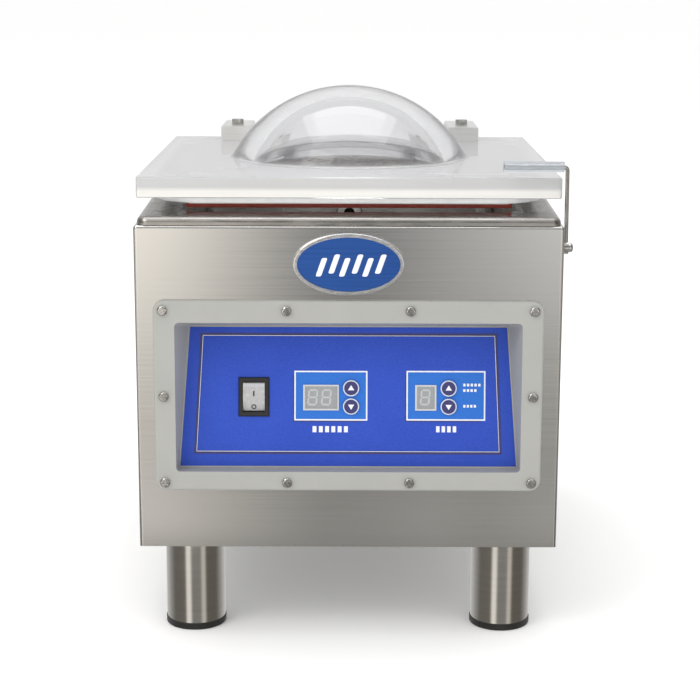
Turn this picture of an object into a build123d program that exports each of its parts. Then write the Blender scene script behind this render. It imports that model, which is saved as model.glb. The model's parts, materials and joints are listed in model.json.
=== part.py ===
from build123d import *
import math
import os

# Vacuum chamber sealer, in millimetres. While it is modelled, X runs across the machine from its
# centre plane, Y runs backwards from the front panel's face, and Z runs up from the floor.

# Body
body_width = 356.0
body_depth = 480.0
body_height = 277.0
leg_height = 80.0
sheet = 1.5
body_bottom = leg_height
body_top = body_bottom + body_height

# Chamber, deep drawn with a flange all round
opening_half_width = 142.0
opening_front = 34.0
opening_rear = 334.0
opening_corner = 20.0
chamber_depth = 80.0
flange_half_width = 175.5
flange_front = 1.0
flange_rear = 378.0
flange_height = 7.0
flange_top = body_top + flange_height
chamber_floor = flange_top - chamber_depth
port_height = flange_top - 47.0

# Lid, drawn closed and then turned open by lid_ajar about the hinge shaft
lid_half_width = 176.0
lid_front = 8.0
lid_rear = 380.0
lid_thickness = 17.5
lid_seat = 5.3
lid_under = flange_top + lid_seat
lid_top = lid_under + lid_thickness
lid_ajar = 1.4
dome_centre_y = 187.0
dome_height = 64.0
dome_outer_radius = 122.3
dome_inner_radius = 95.6
dome_wall = 14.0
hinge_y = 397.0
hinge_z = 374.0
shaft_radius = 5.0
running_clearance = 0.05
arm_centre_x = 112.0
arm_half_width = 15.0
arm_front_left = 336.0
arm_front_right = 327.0
arm_bolt_y = 363.0
tail_reach = 24.0
spring_low = body_bottom + 46.0
spring_beside = 6.1

# Seal bar and the counter bar that it presses against
seal_y = 50.0
seal_half_length = 132.0
seal_travel = 8.0
counter_bar_depth = 8.6
counter_drop = 12.3
seal_top = lid_under - counter_drop - 0.4 - seal_travel
piston_x = 95.0
piston_radius = 5.0
cylinder_top = 322.0

# Hold-down hook, bent from round wire
hook_pivot_y = 15.0
hook_pivot_z = 337.2
hook_wire = 3.4
hook_plane_x = 180.8
hook_top_x = 178.3
hook_finger_y = -3.0
hook_finger_z = 406.9
hook_finger_end = 127.5
sleeve_radius = 4.4

# Control bezel: a frame on the front panel and a drafted recess behind it
bezel_half_width = 162.7
bezel_low = body_bottom + 51.0
bezel_high = body_bottom + 215.0
bezel_proud = 4.5
recess_half_width = 144.6
recess_low = body_bottom + 68.5
recess_high = body_bottom + 196.2
panel_low_y = 11.0
panel_high_y = 33.0
panel_low_z = body_bottom + 69.6
panel_high_z = body_bottom + 186.4
panel_low_half = 144.4
panel_high_half = 136.1
panel_skirt = 2.5
panel_thickness = 2.0
panel_lean = math.degrees(math.atan2(panel_high_y - panel_low_y, panel_high_z - panel_low_z))
panel_length = math.hypot(panel_high_y - panel_low_y, panel_high_z - panel_low_z)
panel_plane = Plane(
    origin=(0, (panel_low_y + panel_high_y) / 2, (panel_low_z + panel_high_z) / 2),
    x_dir=(1, 0, 0),
    z_dir=(0, -math.cos(math.radians(panel_lean)), math.sin(math.radians(panel_lean))),
)
board_gap = 12.0

# On the panel: places are measured across it and up it from its centre
switch_x = -80.4
switch_w = -1.5
rocker_axis_lift = -0.4
rocker_tilt = 9.0
rocker_pivot_radius = 1.5
vacuum_display_place = (-23.2, -2.0, 29.8, 21.4)
seal_display_place = (65.9, -2.0, 17.6, 21.4)
button_radius = 6.9
button_travel = 0.8
button_places = {
    "button_vacuum_up": (2.3, 6.1),
    "button_vacuum_down": (2.3, -9.5),
    "button_seal_up": (85.3, 6.1),
    "button_seal_down": (85.3, -9.5),
}

# Badge on the front, above the bezel
badge_z = body_bottom + 245.4

# Legs
leg_radius = 25.6
leg_x = 133.2
leg_front_y = 36.0
leg_rear_y = body_depth - 36.0
cap_height = 6.0

# Vacuum pump, its motor and the services inside the body
pump_y = 290.0
pump_z = body_bottom + 82.0
motor_radius = 56.0
motor_start = -18.0
motor_end = 96.0
cover_end = 132.0
filter_x = -75.0
filter_y = 382.0
inlet_x = -118.0
inlet_z = body_bottom + 52.0

# The box's centre is the origin, so the hook on the right moves the machine a little to the left
place = Pos(-4.4, -236.8, 0)


def block(x0, x1, y0, y1, z0, z1):
    """A box between two corners."""
    centre = Pos((x0 + x1) / 2, (y0 + y1) / 2, (z0 + z1) / 2)
    return centre * Box(abs(x1 - x0), abs(y1 - y0), abs(z1 - z0))


def rod_x(radius, x0, x1, y, z):
    return Pos((x0 + x1) / 2, y, z) * Rot(0, 90, 0) * Cylinder(radius, abs(x1 - x0))


def rod_y(radius, y0, y1, x, z):
    return Pos(x, (y0 + y1) / 2, z) * Rot(90, 0, 0) * Cylinder(radius, abs(y1 - y0))


def rod_z(radius, z0, z1, x, y):
    return Pos(x, y, (z0 + z1) / 2) * Cylinder(radius, abs(z1 - z0))


def rounded_block(x_half, y0, y1, z0, z1, corner):
    """A block centred on X whose upright corners are rounded."""
    outline = RectangleRounded(2 * x_half, y1 - y0, corner)
    return Pos(0, (y0 + y1) / 2, z0) * extrude(outline, z1 - z0)


def hexagon(across_flats, height):
    return extrude(RegularPolygon(across_flats / 2, 6, major_radius=False), height)


def save(name, *shapes):
    """Writes one sub-part, moved so that the whole machine's box is centred on the origin."""
    solids = [solid for shape in shapes for solid in shape.solids()]
    placed = [place * solid for solid in solids]
    whole = placed[0] if len(placed) == 1 else Compound(placed)
    export_step(whole, f"parts/{name}.step")


def tilted(shape):
    """Turns a lid piece, drawn closed, to the slightly open rest position."""
    return Pos(0, hinge_y, hinge_z) * Rot(-lid_ajar, 0, 0) * Pos(0, -hinge_y, -hinge_z) * shape


# ---------------------------------------------------------------- body shell


def housing():
    """Front, sides and top deck folded from one sheet."""
    half = body_width / 2
    outer = block(-half, half, 0, body_depth, body_bottom, body_top)
    front_corners = outer.edges().filter_by(Axis.Z).group_by(Axis.Y)[0]
    outer = fillet(front_corners, 3.0)
    top_edges = outer.faces().sort_by(Axis.Z)[-1].edges().filter_by(Axis.Y, reverse=True)
    outer = fillet(top_edges.group_by(Axis.Y)[0], 2.6)
    hollow = block(-half + sheet, half - sheet, sheet, body_depth + 1, body_bottom - 1, body_top - sheet)
    shell = outer - hollow
    well = rounded_block(
        opening_half_width + 3.0, opening_front - 3.0, opening_rear + 3.0, body_top - 5, body_top + 5, 23
    )
    recess_window = block(
        -recess_half_width - 4, recess_half_width + 4, -5, 5, recess_low - 4, recess_high + 4
    )
    shell = shell - well - recess_window
    for side in (-1, 1):
        slot_x = side * arm_centre_x
        shell -= block(slot_x - 11, slot_x + 11, 404, 434, body_top - 5, body_top + 5)
    for x, z in bezel_screw_places():
        shell -= rod_y(2.1, -5, 5, x, z)
    return shell - rod_x(2.3, half - 5, half + 5, hook_pivot_y, hook_pivot_z)


def base_plate():
    """Bottom tray with a turned-up edge, vent slots and bolt holes."""
    half = body_width / 2 - sheet - 0.2
    front = sheet + 0.2
    rear = body_depth - sheet - 0.2
    tray = block(-half, half, front, rear, body_bottom, body_bottom + 12)
    tray -= block(-half + 2, half - 2, front + 2, rear - 2, body_bottom + 2, body_bottom + 13)
    for x in (-60, -30, 0, 30, 60):
        for y in (150, 230):
            tray -= Pos(x, y, body_bottom) * extrude(SlotOverall(60, 7, rotation=90), 10, both=True)
    for x, y in leg_places():
        tray -= rod_z(5.2, body_bottom - 5, body_bottom + 5, x, y)
    return tray - rod_z(3.2, body_bottom - 5, body_bottom + 5, -1, 20)


def rear_panel():
    """Rear cover with louvre slots, the mains inlet's cut-out and screw holes."""
    half = body_width / 2 - sheet - 0.2
    y0 = body_depth - sheet
    panel = block(-half, half, y0, body_depth, body_bottom + 12.5, body_top - sheet - 0.2)
    for row in range(9):
        z = body_bottom + 120 + 12 * row
        for x in (-80, 0, 80):
            slot = extrude(SlotOverall(62, 4.5), 10, both=True)
            panel -= Pos(x, body_depth, z) * Rot(90, 0, 0) * slot
    panel -= block(inlet_x - 14.4, inlet_x + 14.4, y0 - 5, body_depth + 5, inlet_z - 10.4, inlet_z + 10.4)
    for x, z in rear_screw_places():
        panel -= rod_y(2.1, y0 - 5, body_depth + 5, x, z)
    return panel


def rear_screw_places():
    half = body_width / 2 - 12
    return [(side * half, body_bottom + up) for side in (-1, 1) for up in (24, 140, 262)]


def rear_screws():
    return [rod_y(2.0, body_depth - 8, body_depth, x, z) + domed_head(x, body_depth, z, 4.0, 2.2, 1)
            for x, z in rear_screw_places()]


def domed_head(x, y, z, radius, height, way):
    """A pan screw head on a face across Y. way is 1 for a head that points backwards, else -1."""
    head = rod_y(radius, y, y + way * height, x, z)
    rim = head.edges().sort_by(Axis.Y)[-1 if way > 0 else 0]
    head = fillet(rim, height * 0.6)
    reach = radius * 0.6
    y0 = y + way * height * 0.5
    y1 = y + way * height * 2
    cross = block(x - reach, x + reach, y0, y1, z - 0.5, z + 0.5)
    cross += block(x - 0.5, x + 0.5, y0, y1, z - reach, z + reach)
    return head - cross


# ---------------------------------------------------------------- legs


def leg_places():
    return [(side * leg_x, y) for y in (leg_front_y, leg_rear_y) for side in (-1, 1)]


def leg(x, y):
    """Steel tube with a welded, tapped top plug."""
    tube = rod_z(leg_radius, cap_height, leg_height, x, y)
    tube -= rod_z(leg_radius - 1.5, cap_height - 1, leg_height - 8, x, y)
    return tube - rod_z(5.05, leg_height - 10, leg_height + 1, x, y)


def foot_cap(x, y):
    cap = rod_z(leg_radius + 0.6, 0, cap_height, x, y)
    cap = fillet(cap.edges().group_by(Axis.Z)[0], 1.5)
    return cap + rod_z(leg_radius - 1.6, cap_height, cap_height + 10, x, y)


def leg_bolt(x, y):
    """Hex bolt down through the base plate into the leg's plug."""
    z = body_bottom + 2
    shank = rod_z(5.0, z - 9.5, z, x, y)
    return shank + rod_z(10, z, z + 2, x, y) + Pos(x, y, z + 2) * hexagon(17, 6.5)


def base_bolt():
    """Hex bolt and washer that hold the pump's cradle, up through the base plate."""
    washer = rod_z(8.6, body_bottom - 1.5, body_bottom, -1, 20)
    head = Pos(-1, 20, body_bottom - 5.0) * hexagon(10, 3.5)
    return washer + head + rod_z(3.0, body_bottom - 2, body_bottom + 22, -1, 20)


# ---------------------------------------------------------------- chamber


def chamber():
    """Drawn tub with a radiused lip, a flat sealing flange and a turned-down rim."""
    shape = rounded_block(flange_half_width, flange_front, flange_rear, body_top + 0.1, flange_top, 9)
    shape = fillet(shape.faces().sort_by(Axis.Z)[-1].edges(), 5.0)
    tub = rounded_block(
        opening_half_width + sheet, opening_front - sheet, opening_rear + sheet,
        chamber_floor, flange_top - 2, opening_corner + sheet,
    )
    tub = fillet(tub.faces().sort_by(Axis.Z)[0].edges(), 4.0)
    shape += tub
    cavity = rounded_block(
        opening_half_width, opening_front, opening_rear, chamber_floor + sheet, flange_top + 5, opening_corner
    )
    cavity = fillet(cavity.faces().sort_by(Axis.Z)[0].edges(), 2.5)
    shape -= cavity
    lip = shape.faces().filter_by(Plane.XY).sort_by(Axis.Z)[-1].inner_wires()[0].edges()
    shape = fillet(lip, 4.0)
    under = rounded_block(
        flange_half_width - sheet, flange_front + sheet, flange_rear - sheet, body_top - 1, flange_top - sheet, 7.5
    )
    under -= rounded_block(
        opening_half_width + 6, opening_front - 6, opening_rear + 6, body_top - 2, flange_top, opening_corner + 6
    )
    shape -= under
    return shape - rod_y(8.1, opening_rear - 5, opening_rear + 5, 0, port_height)


def vacuum_port():
    """Flanged fitting through the chamber's rear wall, with a hose spigot behind it."""
    fitting = rod_y(13.0, opening_rear - 5, opening_rear - 0.1, 0, port_height)
    fitting = chamfer(fitting.edges().group_by(Axis.Y)[0], 1.5)
    fitting += rod_y(8.0, opening_rear - 1, opening_rear + 24, 0, port_height)
    return fitting - rod_y(5.5, opening_rear - 10, opening_rear + 30, 0, port_height)


def port_nut():
    """Hex nut that clamps the port from behind the chamber's wall."""
    nut = Pos(0, opening_rear + sheet, port_height) * Rot(-90, 0, 0) * hexagon(24, 6)
    return nut - rod_y(8.0, opening_rear, opening_rear + 12, 0, port_height)


def filler_plate():
    """Plastic plate that fills the chamber's floor behind the seal bar, with two finger holes."""
    z0 = chamber_floor + sheet
    plate = rounded_block(opening_half_width - 3, 78, opening_rear - 4, z0 + 0.2, z0 + 15.2, 17)
    plate = chamfer(plate.faces().sort_by(Axis.Z)[0].edges(), 3)
    for x in (-90, 90):
        plate -= rod_z(11, z0 - 1, z0 + 20, x, 212)
    return plate


# ---------------------------------------------------------------- seal bar


def lift_cylinder(x):
    """Air cylinder on the chamber's floor."""
    z0 = chamber_floor + sheet
    cylinder = rod_z(9.5, z0, cylinder_top, x, seal_y)
    cylinder = chamfer(cylinder.edges().group_by(Axis.Z)[-1], 1)
    return cylinder - rod_z(piston_radius + running_clearance, z0 + 12, cylinder_top + 5, x, seal_y)


def seal_bar():
    bar = block(-seal_half_length, seal_half_length, seal_y - 6, seal_y + 6, seal_top - 19, seal_top - 1.2)
    bar = chamfer(bar.faces().sort_by(Axis.Z)[0].edges(), 0.8)
    for side in (-1, 1):
        bar -= rod_z(3.0, seal_top - 25, seal_top - 10, side * piston_x, seal_y)
    return bar


def heater_band():
    """Flat resistance band along the bar's top, turned down at both ends."""
    half = seal_half_length - 2
    band = block(-half, half, seal_y - 2.5, seal_y + 2.5, seal_top - 1.2, seal_top - 0.6)
    for side in (-1, 1):
        x0 = side * seal_half_length
        x1 = side * (seal_half_length + 0.6)
        band += block(side * (half - 2), x1, seal_y - 2.5, seal_y + 2.5, seal_top - 1.2, seal_top - 0.6)
        band += block(x0, x1, seal_y - 2.5, seal_y + 2.5, seal_top - 12, seal_top - 0.6)
    return band


def seal_cover():
    """Non-stick tape folded over the bar and the heater band."""
    half = seal_half_length - 3
    cover = block(-half, half, seal_y - 6.5, seal_y + 6.5, seal_top - 12, seal_top)
    return cover - block(-half - 1, half + 1, seal_y - 6, seal_y + 6, seal_top - 13, seal_top - 0.6)


def lift_piston(x):
    z0 = chamber_floor + sheet + 14
    piston = rod_z(piston_radius, z0, seal_top - 19, x, seal_y)
    return piston + rod_z(2.9, seal_top - 19, seal_top - 11, x, seal_y)


# ---------------------------------------------------------------- lid


def lid():
    """Clear plate with a blown dome, which is hollow underneath."""
    plate = rounded_block(lid_half_width, lid_front, lid_rear, lid_under, lid_top, 3)
    plate = chamfer(plate.faces().filter_by(Plane.XY).edges(), 0.8)
    outer_z = lid_top + dome_height - dome_outer_radius
    inner_z = lid_top + dome_height - dome_wall - dome_inner_radius
    ball = Pos(0, dome_centre_y, outer_z) * Sphere(dome_outer_radius)
    ball &= block(-150, 150, 0, 400, lid_top - 5, lid_top + 100)
    shape = plate + ball
    rings = [edge for edge in shape.edges().filter_by(GeomType.CIRCLE) if 50 < edge.radius < 110]
    root = [edge for edge in rings if abs(edge.center().Z - lid_top) < 0.01]
    shape = fillet(root, 2.5)
    shape -= Pos(0, dome_centre_y, inner_z) * Sphere(dome_inner_radius)
    mouth = shape.faces().sort_by(Axis.Z)[0].inner_wires()[0].edges()
    shape = fillet(mouth, 3.0)
    for side in (-1, 1):
        shape -= rod_z(3.1, lid_under - 5, lid_top + 5, side * arm_centre_x, arm_bolt_y)
    return shape


def ring_block(x_half, y0, y1, z0, z1, corner, width):
    outer = rounded_block(x_half, y0, y1, z0, z1, corner)
    return outer - rounded_block(x_half - width, y0 + width, y1 - width, z0 - 1, z1 + 1, corner - width)


def lid_gasket():
    """Silicone ring with a rounded nose."""
    ring = ring_block(163, 13, 354, lid_under - 5.0, lid_under, 42, 12)
    nose = ring.faces().sort_by(Axis.Z)[0].edges()
    return fillet(nose, 2.2)


def counter_bar():
    """Aluminium channel under the lid."""
    low = lid_under - counter_bar_depth
    bar = block(-134.4, 134.4, seal_y - 8, seal_y + 8, low, lid_under)
    return bar - block(-140, 140, seal_y - 6.5, seal_y + 6.5, low - 1, lid_under - sheet)


def counter_pad():
    """Silicone strip held in the channel, longer than it at both ends."""
    pad = block(-137.3, 137.3, seal_y - 6.4, seal_y + 6.4, lid_under - counter_drop, lid_under - sheet)
    return fillet(pad.edges().filter_by(Axis.X).group_by(Axis.Z)[0], 1.2)


def hinge_arm(side, front_y):
    """Bar bolted to the lid's top, with a lug down to the hinge shaft and a short spring lever."""
    x0 = side * arm_centre_x - arm_half_width
    x1 = side * arm_centre_x + arm_half_width
    bar = block(x0, x1, front_y, hinge_y + 11, lid_top, lid_top + 14)
    bar = chamfer(bar.edges().filter_by(Axis.Y).group_by(Axis.Z)[-1], 1.0)
    lug = block(x0, x1, hinge_y - 11, hinge_y + 11, hinge_z, lid_top + 2)
    lug += rod_x(11, x0, x1, hinge_y, hinge_z)
    centre_x = side * arm_centre_x
    tail = block(centre_x - 4, centre_x + 4, hinge_y, hinge_y + tail_reach, hinge_z - 5, hinge_z + 5)
    tail += rod_x(5, centre_x - 4, centre_x + 4, hinge_y + tail_reach, hinge_z)
    arm = bar + lug + tail
    arm -= rod_x(shaft_radius + running_clearance, x0 - 5, x1 + 5, hinge_y, hinge_z)
    arm -= rod_x(2.5, centre_x - 8, centre_x + 8, hinge_y + tail_reach, hinge_z)
    return arm - rod_z(3.1, lid_top - 5, lid_top + 20, centre_x, arm_bolt_y)


def arm_bolt(side):
    """Hex bolt down through the arm and the lid."""
    x = side * arm_centre_x
    head = Pos(x, arm_bolt_y, lid_top + 14) * hexagon(10, 5)
    return head + rod_z(3.0, lid_under - 3, lid_top + 15, x, arm_bolt_y)


def arm_nut(side):
    """Round nut under the lid, outside the gasket."""
    x = side * arm_centre_x
    nut = rod_z(5.0, lid_under - 3.4, lid_under, x, arm_bolt_y)
    return nut - rod_z(3.05, lid_under - 5, lid_under + 1, x, arm_bolt_y)


def spring_pin(side):
    x = side * arm_centre_x
    pin = rod_x(2.45, x - 9, x + 9, hinge_y + tail_reach, hinge_z)
    for end in (-1, 1):
        pin += rod_x(4.2, x + end * 8, x + end * 9.5, hinge_y + tail_reach, hinge_z)
    return pin


def hinge_shaft():
    shaft = rod_x(shaft_radius, -153, 153, hinge_y, hinge_z)
    return chamfer(shaft.edges().filter_by(GeomType.CIRCLE), 0.8)


def hinge_pillow(side):
    """Bearing block on the deck that holds one end of the hinge shaft."""
    x0, x1 = sorted((side * 133, side * 149))
    pillow = block(x0, x1, hinge_y - 9, hinge_y + 9, body_top, hinge_z)
    pillow += rod_x(9, x0, x1, hinge_y, hinge_z)
    pillow += block(x0, x1, hinge_y - 9, hinge_y + 30, body_top, body_top + 8)
    pillow -= rod_x(shaft_radius, x0 - 5, x1 + 5, hinge_y, hinge_z)
    return pillow - rod_z(3.0, body_top - 1, body_top + 20, (x0 + x1) / 2, hinge_y + 21)


def pillow_screw(side):
    x = side * 141
    z = body_top + 8
    head = rod_z(5.0, z, z + 5, x, hinge_y + 21) - Pos(x, hinge_y + 21, z + 2.5) * hexagon(5, 5)
    return head + rod_z(2.95, z - 8, z, x, hinge_y + 21)


def lid_spring(side):
    """Extension spring inside the housing: coil body and a loop at each end."""
    x = side * (arm_centre_x + spring_beside)
    y = hinge_y + tail_reach
    coil_low = spring_low + 18
    coil_high = hinge_z - 45
    spring = rod_z(9, coil_low, coil_high, x, y) - rod_z(6.6, coil_low + 1.2, coil_high - 1.2, x, y)
    spring += Pos(x, y, spring_low) * Rot(0, 90, 0) * Torus(5.2, 1.1)
    spring += rod_z(1.1, spring_low + 5.2, coil_low + 0.5, x, y)
    spring += Pos(x, y, hinge_z - 1.2) * Rot(0, 90, 0) * Torus(5.2, 1.1)
    return spring + rod_z(1.1, coil_high - 0.5, hinge_z - 6.4, x, y)


def spring_anchor():
    """Cross bar on two posts that holds the springs' lower loops."""
    y = hinge_y + tail_reach
    bar = rod_x(3.5, -arm_centre_x - 18, arm_centre_x + 18, y, spring_low)
    for side in (-1, 1):
        x = side * (arm_centre_x + 16)
        bar += block(x - 2, x + 2, y - 10, y + 10, body_bottom + 2, spring_low + 6)
        bar += block(x - 12, x + 2, y - 10, y + 10, body_bottom + 2, body_bottom + 4)
    return bar


def lid_switch():
    """Small switch on the deck that feels the lid."""
    case = block(-40, -20, 390, 397, body_top, body_top + 9)
    plunger = rod_z(1.5, body_top + 8, body_top + 11, -30, 393.5)
    return case + plunger


# ---------------------------------------------------------------- hook


def hook():
    """Round wire with an eye at the pivot and a finger that reaches over the lid."""
    radius = hook_wire / 2
    eye = rod_x(5.6, hook_plane_x - radius, hook_plane_x + radius, hook_pivot_y, hook_pivot_z)
    start = Vector(hook_plane_x, hook_pivot_y, hook_pivot_z)
    corner = Vector(hook_top_x, hook_finger_y, hook_finger_z)
    end = Vector(hook_finger_end, hook_finger_y, hook_finger_z)
    rise = (corner - start).normalized()
    path = FilletPolyline(start + rise * 3.4, corner, end, radius=3.5)
    section = Plane(origin=start + rise * 3.4, z_dir=rise) * Circle(radius)
    wire = sweep(section, path=path)
    return eye + wire - rod_x(2.25, 170, 190, hook_pivot_y, hook_pivot_z)


def hook_sleeve():
    """Soft clear tube over the hook's finger."""
    tube = rod_x(sleeve_radius, hook_finger_end - 1.5, hook_top_x - 2.6, hook_finger_y, hook_finger_z)
    tube = fillet(tube.edges().filter_by(GeomType.CIRCLE), 0.8)
    return tube - rod_x(hook_wire / 2, hook_finger_end, 190, hook_finger_y, hook_finger_z)


def hook_screw():
    """Round-head screw with a washer against the housing's side."""
    half = body_width / 2
    washer = rod_x(5.0, half, half + 0.8, hook_pivot_y, hook_pivot_z)
    shank = rod_x(2.2, half - 1.5, half + 5.0, hook_pivot_y, hook_pivot_z)
    head = rod_x(4.0, half + 4.9, half + 8.6, hook_pivot_y, hook_pivot_z)
    head = fillet(head.edges().sort_by(Axis.X)[-1], 2.6)
    nut = Pos(half - 4.7, hook_pivot_y, hook_pivot_z) * Rot(0, 90, 0) * hexagon(7, 3.2)
    tail = rod_x(2.05, half - 6, half, hook_pivot_y, hook_pivot_z)
    return washer + shank + head + nut + tail


# ---------------------------------------------------------------- control panel


def on_panel(x, w, lift, shape):
    """Puts a shape drawn on XY at a place on the leaning panel, lift above its face."""
    return panel_plane * Pos(x, w, lift) * shape


def panel_outline(extra):
    """The panel's outline: a little wider at the bottom, with small corner radii."""
    low = panel_low_half + extra
    high = panel_high_half + extra
    top = panel_length / 2 + extra
    bottom = -panel_length / 2 - panel_skirt - extra
    face = make_face(Polyline((-low, bottom), (low, bottom), (high, top), (-high, top), close=True))
    return fillet(face.vertices(), 1.5)


def recess_form(extra):
    """The solid form of the recess, from in front of the bezel back to the panel's face."""
    height = recess_high - recess_low + 2 * extra
    middle = (recess_low + recess_high) / 2
    front = Plane(origin=(0, -bezel_proud - 2, middle), x_dir=(1, 0, 0), z_dir=(0, -1, 0))
    mouth = front * RectangleRounded(2 * (recess_half_width + 0.8 + extra), height + 1.4, 4.0)
    back = panel_plane * Pos(0, 0, -extra) * panel_outline(extra)
    return loft([mouth.face(), back.face()], ruled=True)


def bezel_screw_places():
    column = 154.6
    inner = 51.6
    high = body_bottom + 206.5
    middle = body_bottom + 133.1
    low = body_bottom + 58.3
    across = [(x, z) for z in (high, low) for x in (-column, -inner, inner, column)]
    return across + [(-column, middle), (column, middle)]


def control_bezel():
    """Moulded frame on the front panel with drafted walls back to the control panel."""
    middle = (bezel_low + bezel_high) / 2
    outline = RectangleRounded(2 * bezel_half_width, bezel_high - bezel_low, 9.5)
    frame = Pos(0, 0, middle) * Rot(90, 0, 0) * extrude(outline, bezel_proud)
    frame = fillet(frame.faces().sort_by(Axis.Y)[0].edges(), 2.5)
    walls = recess_form(2.2) & block(-200, 200, -0.5, 60, 100, 320)
    shape = frame + walls - recess_form(0) - on_panel(0, 0, -12, extrude(panel_outline(0), 12.1))
    for x, z in bezel_screw_places():
        shape -= rod_y(2.1, -10, 5, x, z)
    return shape


def bezel_screw(x, z):
    return domed_head(x, -bezel_proud, z, 4.3, 2.6, -1) + rod_y(2.0, -bezel_proud, 8, x, z)


def control_panel():
    """Sheet behind the recess with holes for the switch, the displays and the buttons."""
    sheet_form = on_panel(0, 0, -panel_thickness, extrude(panel_outline(-0.1), panel_thickness))
    switch_hole = on_panel(switch_x, switch_w, -5, extrude(Rectangle(22.0, 30.0), 10))
    sheet_form -= switch_hole
    for x, w, width, height in (vacuum_display_place, seal_display_place):
        sheet_form -= on_panel(x, w, -5, extrude(Rectangle(width, height), 10))
    for x, w in button_places.values():
        sheet_form -= on_panel(x, w, -5, extrude(Circle(3.0), 10))
    return sheet_form


def display(x, w, width, height):
    """Display module: a window flush with the panel and a case behind it."""
    window = extrude(Rectangle(width - 0.1, height - 0.1), panel_thickness + 0.3)
    window = chamfer(window.faces().sort_by(Axis.Z)[-1].edges(), 0.4)
    case = Pos(0, 0, -6) * extrude(Rectangle(width + 1, height + 1), 6)
    return on_panel(x, w, -panel_thickness, window + case)


def button(x, w):
    """Round key: a cap over the panel and a stem through it."""
    cap = fillet(extrude(Circle(button_radius), 1.3).edges().group_by(Axis.Z)[-1], 0.5)
    stem = Pos(0, 0, -6) * extrude(Circle(2.7), 6.2)
    return on_panel(x, w, button_travel + 0.3, cap + stem)


def switch_frame():
    """Snap-in frame of the power switch, with its case behind the panel."""
    flange = extrude(Rectangle(26.2, 33.4), 2.0)
    flange = chamfer(flange.faces().sort_by(Axis.Z)[-1].edges(), 0.8)
    case = Pos(0, 0, -22) * extrude(Rectangle(21.6, 29.6), 22.0)
    frame = flange + case - Pos(0, 0, -10) * extrude(Rectangle(19.2, 25.6), 20)
    for end in (-1, 1):
        frame += Pos(end * 5, 0, -29) * extrude(Rectangle(0.8, 4.8), 7.2)
    frame -= rod_x(rocker_pivot_radius + running_clearance, -10.7, 10.7, 0, rocker_axis_lift)
    return on_panel(switch_x, switch_w, 0, frame)


def rocker():
    """Rocking key with two flats that meet over its pivot, drawn with its lower end pressed in."""
    profile = Polyline((-12.2, -1.0), (-12.2, 1.4), (0, 3.4), (12.2, 1.4), (12.2, -1.0), (0, -6.0), close=True)
    key = extrude(Plane.YZ * make_face(profile), 9.2, both=True)
    key = fillet(key.edges().filter_by(Axis.X).sort_by(Axis.Z)[-3:], 0.8)
    key += rod_x(rocker_pivot_radius, -10.3, 10.3, 0, 0)
    turned = Rot(rocker_tilt, 0, 0) * key
    return on_panel(switch_x, switch_w, rocker_axis_lift, turned)


def control_board():
    """Circuit board behind the panel, on four pillars."""
    board = extrude(Rectangle(190, 84), 1.6)
    board -= Pos(switch_x, switch_w, -1) * extrude(Rectangle(28, 36), 5)
    for x in (-90, 90):
        for w in (-38, 38):
            board += Pos(x, w, 1.6) * extrude(Circle(3), board_gap - panel_thickness - 1.6)
    for x, w, width, height in ((-40, 24, 30, 14), (30, -26, 24, 12), (60, 24, 16, 10)):
        board += Pos(x, w, -6) * extrude(Rectangle(width, height), 6)
    return on_panel(0, 0, -board_gap, board)


def badge_rim():
    outer = Ellipse(46.2, 26.1)
    ring = extrude(outer - Ellipse(42.8, 22.7), 3.2) + extrude(Ellipse(44, 24), 0.8)
    rim = fillet(ring.faces().sort_by(Axis.Z)[-1].outer_wire().edges(), 1.2)
    return Pos(0, 0, badge_z) * Rot(90, 0, 0) * rim


def badge_face():
    face = Pos(0, 0, 0.8) * extrude(Ellipse(42.7, 22.6), 1.4)
    return Pos(0, 0, badge_z) * Rot(90, 0, 0) * face


# ---------------------------------------------------------------- pump and services


def vacuum_pump():
    """Cast pump block with cooling fins and an inlet boss on top."""
    pump = block(-118, motor_start, pump_y - 62, pump_y + 62, body_bottom + 14, pump_z + 58)
    pump = fillet(pump.edges().filter_by(Axis.X), 8)
    for index in range(7):
        x = -110 + 14 * index
        pump -= block(x, x + 5, pump_y - 70, pump_y - 55, body_bottom + 30, pump_z + 44)
    pump += rod_z(12, pump_z + 50, pump_z + 60, -65, pump_y)
    for y in (pump_y - 50, pump_y + 50):
        pump += block(-110, -30, y - 10, y + 10, body_bottom + 2, body_bottom + 20)
    return pump - rod_z(6, pump_z + 40, pump_z + 70, -65, pump_y)


def pump_motor():
    """Ribbed motor barrel with a foot and a bore for its shaft."""
    motor = rod_x(motor_radius, motor_start, motor_end, pump_y, pump_z)
    for index in range(20):
        turn = Pos(0, pump_y, pump_z) * Rot(index * 18, 0, 0)
        motor += turn * block(motor_start + 12, motor_end - 12, -1, 1, motor_radius - 3, motor_radius + 5)
    motor += block(8, 72, pump_y - 40, pump_y + 40, body_bottom + 2, pump_z - 45)
    return motor - rod_x(6 + running_clearance, motor_end - 40, motor_end + 5, pump_y, pump_z)


def fan_cover():
    """Pressed cover over the motor's fan, with slots in its end."""
    cover = rod_x(motor_radius + 2, motor_end - 8, cover_end, pump_y, pump_z)
    cover = fillet(cover.edges().sort_by(Axis.X)[-1], 6)
    void = rod_x(motor_radius, motor_end - 9, cover_end - sheet, pump_y, pump_z)
    cover -= fillet(void.edges().sort_by(Axis.X)[-1], 5)
    for index in range(12):
        turn = Pos(0, pump_y, pump_z) * Rot(index * 30, 0, 0)
        cover -= turn * block(cover_end - 5, cover_end + 5, -3, 3, 18, 46)
    return cover


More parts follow.
